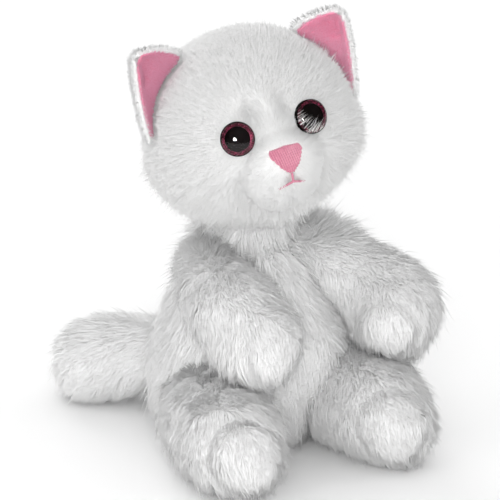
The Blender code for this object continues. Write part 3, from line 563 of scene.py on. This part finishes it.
def make_skins():
    """Every soft body's skin, swollen together and kept off the floor, in the place of its CAD nodes.

    The washers and the pellet bag fill their pockets in the stuffing, so that no hollow is left.
    """
    skins = {"head": start_skin("head_skin", HEAD_NODES + ["eye_washer_left", "eye_washer_right"])}
    skins["torso"] = start_skin("torso_skin", TORSO_NODES + ["pellet_bag"])
    replaced = {"head": HEAD_NODES, "torso": TORSO_NODES}
    for side in SIDES:
        for limb in LIMB_PANELS:
            replaced[f"{limb}_{side}"] = limb_nodes(limb, side)
            skins[f"{limb}_{side}"] = start_skin(f"{limb}_skin_{side}", limb_nodes(limb, side))
    replaced["tail"] = TAIL_NODES
    skins["tail"] = start_skin("tail_skin", TAIL_NODES)
    replaced["neck_lower"] = ["neck_stuffing"]
    skins["neck_lower"] = start_skin("neck_skin", ["neck_stuffing"])
    swell(list(skins.values()))
    for body, skin in skins.items():
        points = coords(skin.data)
        points[:, 2] = np.maximum(points[:, 2], FLOOR_CLEAR)
        set_coords(skin.data, points)
        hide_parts(*replaced[body])
    return skins


def eye_axes():
    """Each eye's centre and outward axis, from its washer and its iris."""
    found = {}
    for side in SIDES:
        iris = coords(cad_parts[f"eye_iris_{side}"].data).mean(axis=0)
        washer = coords(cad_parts[f"eye_washer_{side}"].data).mean(axis=0)
        found[side] = (iris, unit(iris - washer))
    return found


EYES = eye_axes()
EAR_LININGS = {side: point_tree(coords(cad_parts[f"ear_lining_{side}"].data)) for side in SIDES}
# The face, in mm in the head's own frame: x across to its left, z up
NOSE = np.array([0, -58, -8]) * MM
MUZZLE_HALF_WIDTH = 19.5
MUZZLE_HALF_HEIGHT = 18.5
MUZZLE_Z = -17
SOCKET_DEPTH = 0.4
SOCKET_RADIUS = 9
# Each form: how far out, its middle across and up, and its half width and half height
FACE_FORMS = (
    (-4.5, -8.5, 12, 4.5, 5.5),  # the dent at the inner corner of its right eye
    (-2.2, 8.5, 11, 4.5, 5.5),  # the shallower one of its left eye
    (2.0, 0, 7, 5, 14),  # the bridge of the nose
    (2.0, 0, -41, 12, 5),  # the chin
)
CHEEK_OUT = 2.2
CHEEK_X = 33
CHEEK_Z = -18
CHEEK_RADIUS = 14
SEAM_DEPTH = 4.6
MUZZLE_PUFF = 2.4
CLEFT_DEPTH = 1.4
CLEFT_HALF_WIDTH = 1.8
EYE_HOLE = 7.2  # no lock starts nearer to an eye's middle
COVERED_EYE = "left"  # the eye whose edge the pile covers
COVERED_EYE_HOLE = 8.8
BELOW_NOSE = 6 * MM


def muzzle_edge(x, z):
    """0 in the middle of the muzzle and 1 along its seam, in mm in the head's frame."""
    return np.hypot(x / MUZZLE_HALF_WIDTH, (z - MUZZLE_Z) / MUZZLE_HALF_HEIGHT)


def shape_head(skin):
    """Sculpts the face: eye sockets, dents beside the nose, cheeks, the muzzle and the smile."""
    points, ups = coords(skin.data), normals(skin.data)
    local = to_head(points)
    x, y, z = (local / MM).T
    front = smooth_step(-y, 10, 25)
    move = np.zeros(len(points))
    for centre, axis in EYES.values():
        off = points - centre
        beside = np.linalg.norm(off - (off @ axis)[:, None] * axis, axis=1) / MM
        move -= front * SOCKET_DEPTH * bell(beside / SOCKET_RADIUS)
    for out, across, up, half_width, half_height in FACE_FORMS:
        move += front * out * bell((x - across) / half_width) * bell((z - up) / half_height)
    cheeks = bell((x - CHEEK_X) / CHEEK_RADIUS) + bell((x + CHEEK_X) / CHEEK_RADIUS)
    cheeks *= bell((z - CHEEK_Z) / CHEEK_RADIUS)
    move += CHEEK_OUT * cheeks * smooth_step(-y, -5, 20)
    # The muzzle puffs out inside its seam, and the smile runs round its lower edge.
    edge = muzzle_edge(x, z)
    low = smooth_step(-z, 8, 18)
    move -= front * SEAM_DEPTH * bell((edge - 1.03) / 0.15) * (0.25 + 0.75 * low)
    move += front * MUZZLE_PUFF * bell((edge - 0.45) / 0.45)
    # A cleft runs down from the nose.
    cleft = bell(x / CLEFT_HALF_WIDTH) * smooth_step(-z, 14, 18) * smooth_step(z, -33, -28)
    move -= front * CLEFT_DEPTH * cleft
    set_coords(skin.data, points + ups * (move * MM)[:, None])


def over_eye(side):
    """From an eye's centre towards the nose and the cheek below, where the pile is longest."""
    centre, axis = EYES[side]
    towards = from_head(NOSE[None])[0] - centre + turn_from_head(np.array([0, 0, -BELOW_NOSE]))
    return towards - (towards @ axis) * axis


def pad_edge(points, pad):
    """0 in the middle of a pad and 1 along its seam; far from the pad's front it is large."""
    middle, wide, tall = pad
    x, y, z = ((points / MM) - np.array(middle)).T
    return np.hypot(np.hypot(x / wide, z / tall), np.maximum(y, 0) / (1.3 * wide))


def in_pad(points, pad):
    return 1 - smooth_step(pad_edge(points, pad), 0.75, 1.05)


def shape_pad(skin, pad):
    """A crease along a pad's seam and a soft rise inside it."""
    points, ups = coords(skin.data), normals(skin.data)
    edge = pad_edge(points, pad)
    move = 0.35 * bell(edge / 0.6) - bell((edge - 1.0) / 0.14)
    set_coords(skin.data, points + ups * (PAD_CREASE * move)[:, None])


def shape_torso(skin):
    """Fills the belly out between the left arm and the left leg."""
    points, ups = coords(skin.data), normals(skin.data)
    near = bell(np.linalg.norm(points - BELLY_FOLD, axis=1) / BELLY_FOLD_RADIUS)
    set_coords(skin.data, points + ups * (BELLY_FOLD_OUT * near)[:, None])


def head_style(points, ups):
    """Short pile on the muzzle, longer on the crown, longest on the cheeks, combed away from the nose."""
    local = to_head(points)
    x, y, z = (local / MM).T
    front = smooth_step(-y, 5, 30)
    edge = muzzle_edge(x, z)
    muzzle = bell(edge**2) * front
    crease = bell((edge - 1.03) / 0.2) * front * smooth_step(-z, 6, 16)
    face = bell(np.hypot(x / 32, (z + 2) / 30) ** 2) * front
    cheek = smooth_step(np.abs(x), 22, 42) * bell((z + 22) / 20)
    under = smooth_step(-z, 22, 38)
    length = 7.0 - 2.2 * face - 1.2 * muzzle + 4.0 * cheek + 4.0 * under - 1.5 * crease
    length -= 2.0 * bell((x + 8.5) / 5) * bell((z - 12) / 6) * front
    away = local - NOSE
    away[:, 2] -= 0.1 * np.abs(away[:, 0])
    back = smooth_step(y, -5, 25)[:, None]
    comb = turn_from_head(unit(away) * (1 - back) + np.array([0, 0, -1.0]) * back)
    keep = np.ones(len(points))
    lean = 0.75 + 0.35 * muzzle
    for side, (centre, axis) in EYES.items():
        off = points - centre
        depth = off @ axis
        flat = off - depth[:, None] * axis
        beside = np.linalg.norm(flat, axis=1) / MM
        near = depth > -20 * MM
        keep[near & (beside < EYE_HOLE)] = 0
        ring = np.where(near, bell(np.maximum(beside - 8, 0) / 4), 0)
        # Pile from the nose's side and from below lies over the covered eye's edge.
        inward = unit(flat) @ unit(over_eye(side)) * (side == COVERED_EYE)
        over = smooth_step(inward, 0.2, 0.8)
        length -= 2.0 * ring * np.clip(length - 3.2, 0, 2) / 2 * (1 - over)
        keep[near & (beside < COVERED_EYE_HOLE) & (over > 0.1)] = 0
        length += 5.5 * ring * over
        lean = lean + (0.5 - lean) * ring * over
        comb += unit(flat) * (2.5 * ring * (1 - 2.4 * over))[:, None]
    for side in SIDES:
        lining = EAR_LININGS[side]
        near_ear = np.array([lining.find(place)[2] for place in points]) / MM
        length *= 1 - 0.6 * (1 - smooth_step(near_ear, 3, 11)) * smooth_step(-y, -4, 6)
    nose = (np.abs(x) < 7.8 * np.clip((z + 16.5) / 11, 0.12, 1)) & (z > -16.5) & (z < -3.6) & (y < -35)
    thread = (np.abs(x) < 0.9) & (z > -22) & (z < -15) & (y < -35)
    keep[nose | thread] = 0
    near_nose = bell(np.maximum(np.hypot(x / 9, (z + 7) / 8) - 1, 0) / 0.35) * front
    length -= 1.4 * near_nose * np.clip(length - 2, 0, 2) / 2
    return {
        "length": np.maximum(length, 1.8) * MM,
        "lean": lean,
        "comb": unit(comb),
        "density": keep * (1.3 + 0.5 * front),
        "clump": 0.3 - 0.05 * front,
        # Painted light: towards the back of the head, more locks take the body's lighter whites, lifting the
        # shade there.
        "whiter": smooth_step(y, -12, 8),
        "droop": 0.1 + 0.2 * cheek + 0.1 * under,
        "stray": np.full(len(points), 0.14),
        "width": 1 - 0.3 * front,
    }


def torso_comb(points):
    away = points.copy()
    away[:, 2] = 0
    return unit(unit(away) * 0.3 + np.array([0, 0, -1.0]))


def above_floor(points, ups):
    """No locks under the seat or the feet, where the fabric is pressed to the floor."""
    return 1 - smooth_step(-ups[:, 2], 0.75, 0.95) * smooth_step(-points[:, 2], -8 * MM, -3 * MM)


def near_shoulder(points, side):
    return bell(np.linalg.norm(points - SHOULDERS[side], axis=1) / (22 * MM))


# Pile lengths, in mm, and how much longer the pile is in places
TORSO_PILE = 10.5
CHEST_EXTRA = 4.5
BELLY_EXTRA = 3.0
NECK_PILE = 15
ARM_PILE = 10.0
ARM_EXTRA = {"left": (3.0, 7.0, 3.5), "right": (1.0, 2.0, 1.0)}  # outside, on the shoulder, underneath
LEG_PILE = 10.5
TAIL_PILE = 11


def make_fur(skins):
    """Every soft body's fur but the ears'."""
    white = (WHITE_FUR_PAINTED_LIGHT, "white_plush")
    # The head takes the darker whites, painted shade, and towards its back the lighter ones, painted light.
    grow_fur(
        "head_fur", skins["head"], "head", head_style, 11, HEAD_FUR_PAINTED_SHADE + WHITE_FUR_PAINTED_LIGHT, "white_plush",
        clump_size=6 * MM,
    )  # fmt: skip

    def torso_length(points, ups):
        belly = smooth_step(-points[:, 1], 20 * MM, 40 * MM) * smooth_step(points[:, 0], -10 * MM, 10 * MM)
        high = smooth_step(points[:, 2], 60 * MM, 95 * MM)
        return (TORSO_PILE + CHEST_EXTRA * high + BELLY_EXTRA * belly) * MM

    def torso_lean(points, ups):
        return 1.3 - 0.8 * smooth_step(points[:, 2], 80 * MM, 100 * MM)

    torso = body_style(torso_length, torso_lean, torso_comb, density=above_floor)
    grow_fur("torso_fur", skins["torso"], "torso", torso, 12, *white, clump_size=8 * MM)
    neck = body_style(NECK_PILE * MM, 0.4, torso_comb)
    grow_fur("neck_fur", skins["neck_lower"], "neck_lower", neck, 13, *white)
    for k, side in enumerate(SIDES):
        sign = SIGN[side]

        def arm_length(points, ups, sign=sign, side=side):
            outer = smooth_step(ups[:, 0] * sign, 0.2, 0.9) * smooth_step(-points[:, 1], 20 * MM, 40 * MM)
            under = smooth_step(-ups[:, 2], 0.1, 0.8)
            more_outer, more_shoulder, more_under = ARM_EXTRA[side]
            longer = more_outer * outer + more_shoulder * near_shoulder(points, side) + more_under * under
            return (ARM_PILE + longer) * MM * (1 - PAD_TRIM * in_pad(points, PALMS[side]))

        def arm_lean(points, ups, side=side):
            return 1.25 - 0.95 * near_shoulder(points, side)

        arm = body_style(arm_length, arm_lean, flow_along(ARM_LINES[side]), droop=0.2)
        body = f"arm_{side}"
        grow_fur(f"arm_fur_{side}", skins[body], body, arm, 20 + k, *white, clump_size=8 * MM)

        def leg_length(points, ups, side=side):
            return LEG_PILE * MM * (1 - PAD_TRIM * in_pad(points, SOLES[side]))

        leg = body_style(leg_length, 1.2, flow_along(LEG_LINES[side]), density=above_floor)
        body = f"leg_{side}"
        grow_fur(f"leg_fur_{side}", skins[body], body, leg, 30 + k, *white, clump_size=8 * MM)
    tail = body_style(TAIL_PILE * MM, 1.1, flow_along(TAIL_LINE), density=above_floor)
    grow_fur("tail_fur", skins["tail"], "tail", tail, 40, *white, clump_size=8 * MM)


# ---------------------------------------------------------------- ears


LINING_SPREAD = 0.09  # of its size
LINING_PILE = 1.5 * MM
EAR_PILE = 1.9 * MM
EAR_BACK_EXTRA = 1.6 * MM


def ear_frame(side):
    """An ear's middle and the way it faces, from its two layers."""
    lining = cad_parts[f"ear_lining_{side}"].data
    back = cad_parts[f"ear_back_{side}"].data
    facing = unit(coords(lining).mean(axis=0) - coords(back).mean(axis=0))
    return coords(lining).mean(axis=0), facing


def widen_lining(mesh, side):
    """Spreads a lining towards the ear's edge, so that only a narrow white rim shows."""
    middle, facing = ear_frame(side)
    away = coords(mesh) - middle
    flat = away - (away @ facing)[:, None] * facing
    set_coords(mesh, coords(mesh) + flat * LINING_SPREAD)


def make_ears():
    """Each ear's white back and pink lining, with short pile on both."""
    for k, side in enumerate(SIDES):
        for part, backing, materials, slot in (
            ("back", RIM_SKIN, WHITE_FUR_PAINTED_LIGHT, "white_plush"),
            ("lining", PINK_SKIN, PINK_FUR, "pink_plush"),
        ):
            name = f"ear_{part}_{side}"
            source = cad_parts[name].data
            skin = add_object(f"{name}_skin", triangle_mesh(name, coords(source), triangles(source)), backing)
            weld = skin.modifiers.new("weld", "WELD")
            weld.merge_threshold = 0.02 * MM
            finer = skin.modifiers.new("finer", "SUBSURF")
            finer.levels = finer.render_levels = 2
            apply_all(skin)
            if part == "lining":
                widen_lining(skin.data, side)
            skin.data.shade_smooth()
            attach(skin, f"ear_{side}")
            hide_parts(name)
            middle, facing = ear_frame(side)

            def style(points, ups, part=part, facing=facing, middle=middle):
                count = len(points)
                forward = ups @ facing
                outward = unit(points - middle)
                if part == "lining":
                    length = np.full(count, LINING_PILE)
                    density = smooth_step(forward, 0.1, 0.4) * 2.6
                    lean, clump = 0.5, 0.15
                else:
                    length = EAR_PILE + EAR_BACK_EXTRA * smooth_step(-forward, 0.2, 0.8)
                    density = np.full(count, 1.2)
                    lean, clump = 0.6, 0.1
                # The pile at the rim is lit like the ear's front.
                towards_front = (1.5 * smooth_step(forward, -0.7, 0.1))[:, None]
                return {
                    "length": length,
                    "lean": np.full(count, lean),
                    "comb": outward,
                    "density": density,
                    "clump": np.full(count, clump),
                    "droop": np.zeros(count),
                    "stray": np.full(count, 0.15),
                    "width": np.full(count, 0.6),
                    "facing": unit(ups + facing * towards_front),
                }

            seed = 50 + 2 * k + (part == "back")
            grow_fur(
                f"ear_fur_{part}_{side}", skin, f"ear_{side}", style, seed, materials, slot,
                clump_size=3 * MM, density=2.2,
            )  # fmt: skip


# ---------------------------------------------------------------- eyes, nose and mouth


# The eyes, in mm. Heights are from the middle of the iris foil.
TURN_STEPS = 64
PLATE_RADIUS = 8.25
PLATE_LIP = 1.05  # the height of the plate's rim round the dome
PLATE_BACK = -1.5
POST_RADIUS = 2.3
POST_END = -15.2
DOME_RADIUS = 7.9
DOME_EDGE = 0.75
DOME_RISE = 4.0
DOME_BACK = 0.1
DOME_RINGS = 14
IRIS_RADIUS = 7.7
IRIS_HALF = 0.2  # half the foil's thickness
PUPIL_RADIUS = 5.6
PUPIL_TOP = 0.25

SATIN_VOXEL = 0.16 * MM


def turned(name, profile, centre, axis, material, closed=False):
    """A profile of (radius, height) in mm turned about an axis through a centre."""
    count = len(profile)
    edges = [(k, k + 1) for k in range(count - 1)] + ([(count - 1, 0)] if closed else [])
    mesh = bpy.data.meshes.new(name)
    mesh.from_pydata([(r * MM, 0, h * MM) for r, h in profile], edges, [])
    made = add_object(name, mesh, material)
    screw = made.modifiers.new("turn", "SCREW")
    screw.steps = screw.render_steps = TURN_STEPS
    screw.use_merge_vertices = True
    screw.merge_threshold = 0.01 * MM
    apply_all(made)
    soup = bmesh.new()
    soup.from_mesh(made.data)
    bmesh.ops.recalc_face_normals(soup, faces=soup.faces)
    soup.to_mesh(made.data)
    soup.free()
    made.data.materials.clear()
    made.data.materials.append(material)
    turn = Vector(axis).to_track_quat("Z", "Y").to_matrix().to_4x4()
    made.data.transform(Matrix.Translation(Vector(centre)) @ turn)
    made.data.shade_smooth()
    made.data.set_sharp_from_angle(angle=math.radians(40))
    return made


def make_eyes():
    """Smooth turned pieces in the places of the CAD's eyes: plate and post, foil, pupil and dome."""
    arc = [math.radians(90 * k / DOME_RINGS) for k in range(DOME_RINGS + 1)]
    dome = [(DOME_RADIUS * math.sin(a), DOME_EDGE + DOME_RISE * math.cos(a)) for a in arc]
    # The dome's back lies just inside the iris and the pupil, with no air between them.
    dome += [(DOME_RADIUS, DOME_BACK), (0, DOME_BACK)]
    plate = [
        (0, -0.3),
        (IRIS_RADIUS + 0.1, -0.3),
        (DOME_RADIUS + 0.05, IRIS_HALF),
        (DOME_RADIUS + 0.05, PLATE_LIP - 0.1),
        (PLATE_RADIUS - 0.05, PLATE_LIP),
        (PLATE_RADIUS, PLATE_LIP - 0.15),
        (PLATE_RADIUS, PLATE_BACK + 0.15),
        (POST_RADIUS, PLATE_BACK),
        (POST_RADIUS, POST_END),
        (0, POST_END),
    ]
    ring = [
        (PUPIL_RADIUS + 0.1, IRIS_HALF),
        (IRIS_RADIUS, IRIS_HALF),
        (IRIS_RADIUS, -IRIS_HALF),
        (PUPIL_RADIUS + 0.1, -IRIS_HALF),
    ]
    disc = [
        (0, PUPIL_TOP),
        (PUPIL_RADIUS - 0.15, PUPIL_TOP),
        (PUPIL_RADIUS, PUPIL_TOP - 0.13),
        (PUPIL_RADIUS, -IRIS_HALF),
        (0, -IRIS_HALF),
    ]
    for side, (centre, axis) in EYES.items():
        for part, profile, material, slot, closed in (
            ("dome", dome, CLEAR, "clear_plastic", False),
            ("post", plate, BLACK, "black_plastic", False),
            ("iris", ring, GLITTER, "glitter_foil", True),
            ("pupil", disc, BLACK, "black_plastic", False),
        ):
            piece = turned(f"eye_{part}_{side}_turned", profile, centre, axis, material, closed=closed)
            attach(piece, "head")
            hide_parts(f"eye_{part}_{side}")


def make_satin(name, across, pitch, depth, thinner=0.0):
    """A stitched patch: the CAD's patch with a ridge for each thread, side by side across it.

    Pitch, depth and how much thinner the patch gets are in mm.
    """
    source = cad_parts[name].data
    mesh = triangle_mesh(name, coords(source), triangles(source))
    piece = add_object(f"{name}_satin", mesh, PINK_SATIN)
    remesh = piece.modifiers.new("remesh", "REMESH")
    remesh.mode = "VOXEL"
    remesh.voxel_size = SATIN_VOXEL
    smooth = piece.modifiers.new("smooth", "SMOOTH")
    smooth.iterations = 3
    apply_all(piece)
    points, ups = coords(piece.data), normals(piece.data)
    local = to_head(points) / MM
    wave = np.abs(np.sin(math.pi * (local @ np.array(across)) / pitch))
    set_coords(piece.data, points + ups * (((wave - 0.5) * depth - thinner) * MM)[:, None])
    piece.data.shade_smooth()
    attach(piece, "head")
    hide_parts(name)


def finish_cad_nodes():
    """Better materials for the CAD nodes that stay."""
    looks = {
        "pellet_bag": BAG_CLOTH,
        "eye_washer": BLACK,
        "back_closing_seam": WHITE_THREAD,
        "neck_seam_thread": WHITE_THREAD,
        "shoulder_seam": WHITE_THREAD,
        "hip_seam": WHITE_THREAD,
        "tail_seam": WHITE_THREAD,
    }
    for name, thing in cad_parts.items():
        for start, material in looks.items():
            if name.startswith(start):
                thing.data.materials.clear()
                thing.data.materials.append(material)


# ---------------------------------------------------------------- stage

CAMERA_AZIMUTH = math.radians(-30)
CAMERA_ELEVATION = math.radians(20)
CAMERA_TARGET = Vector((-5.3, -19.2, 98.8)) * MM
CAMERA_DISTANCE = 4.0
VIEW_WIDTH = 240 * MM  # what the frame spans at the target
SENSOR = 36.0
CATCH_DISTANCE = 1.6
HIGHLIGHT_SHIFT = (-0.12, 0, 0.04)  # the highlight's place on the dome, off its middle
FRONT_DISTANCE = 2.2
FLOOR_HALF = 3.0
WORLD_STRENGTH = 0.88


def catch_light_place():
    """Where a light's highlight shows near the middle of the right eye's dome, for the camera."""
    centre, axis = EYES["right"]
    look = np.array(camera_back())
    level = unit(axis + np.array(HIGHLIGHT_SHIFT))
    return centre + CATCH_DISTANCE * (2 * (level @ look) * level - look)


def camera_back():
    """From the camera's target towards the camera."""
    level = math.cos(CAMERA_ELEVATION)
    x = math.sin(CAMERA_AZIMUTH) * level
    y = -math.cos(CAMERA_AZIMUTH) * level
    return Vector((x, y, math.sin(CAMERA_ELEVATION)))


def make_stage():
    """The camera, the floor, soft lights and a white world.

    Only the catch light shows in the eyes, and it lights nothing else.
    """
    camera = bpy.data.cameras.new("camera")
    camera.sensor_width = SENSOR
    camera.lens = SENSOR * CAMERA_DISTANCE / VIEW_WIDTH
    holder = bpy.data.objects.new("camera", camera)
    back = camera_back()
    holder.location = CAMERA_TARGET + back * CAMERA_DISTANCE
    holder.rotation_euler = back.to_track_quat("Z", "Y").to_euler()
    bpy.context.scene.collection.objects.link(holder)
    bpy.context.scene.camera = holder

    pale = principled("pale_floor", (0.93, 0.93, 0.93), 0.8)
    soup = bmesh.new()
    bmesh.ops.create_grid(soup, x_segments=1, y_segments=1, size=FLOOR_HALF)
    mesh = bpy.data.meshes.new("floor")
    soup.to_mesh(mesh)
    soup.free()
    add_object("floor", mesh, pale)

    for name, place, energy, size in (
        ("key", (-1.7, -0.9, 0.7), 2.0, 1.4),
        ("fill", (1.5, -1.1, 0.6), 1.5, 1.4),
        ("back", (0.2, 1.7, 1.0), 9.0, 1.2),
        ("top", (-0.8, 0.1, 1.6), 2.5, 1.4),
        ("front", tuple(CAMERA_TARGET + camera_back() * FRONT_DISTANCE), 17.5, 0.8),
        ("catch", tuple(catch_light_place()), 45.0, 0.4),
    ):
        lamp = bpy.data.lights.new(name, "AREA")
        lamp.energy = energy
        lamp.size = size
        lamp.shape = "DISK"
        stand = bpy.data.objects.new(name, lamp)
        stand.location = place
        aim = Vector(place) - CAMERA_TARGET
        stand.rotation_euler = aim.to_track_quat("Z", "Y").to_euler()
        stand.visible_glossy = name == "catch"
        stand.visible_transmission = name == "catch"
        stand.visible_diffuse = name != "catch"
        bpy.context.scene.collection.objects.link(stand)

    world = bpy.data.worlds.new("studio")
    world.use_nodes = True
    background = world.node_tree.nodes["Background"]
    background.inputs["Color"].default_value = (1, 1, 1, 1)
    background.inputs["Strength"].default_value = WORLD_STRENGTH
    bpy.context.scene.world = world
    world.cycles_visibility.glossy = False
    bpy.context.scene.view_settings.view_transform = "Standard"
    bpy.context.scene.cycles.diffuse_bounces = FUR_BOUNCES
    bpy.context.scene.cycles.max_bounces = FUR_BOUNCES


def main():
    make_stage()
    skins = make_skins()
    shape_head(skins["head"])
    shape_torso(skins["torso"])
    for side in SIDES:
        shape_pad(skins[f"arm_{side}"], PALMS[side])
        shape_pad(skins[f"leg_{side}"], SOLES[side])
    for k, (body, skin) in enumerate(skins.items()):
        if body != "head":
            add_lumps(skin, LUMP_HEIGHT, LUMP_SIZE, 70 + k)
        skin.data.materials.clear()
        skin.data.materials.append(WHITE_SKIN)
        skin.data.shade_smooth()
        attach(skin, body)
    make_fur(skins)
    make_ears()
    make_eyes()
    make_satin("nose_stitches", (1, 0, 0.12), 1.1, 0.5)
    make_satin("mouth_stitches", (0.7, 0, 0.7), 0.6, 0.1, thinner=0.25)
    finish_cad_nodes()


main()
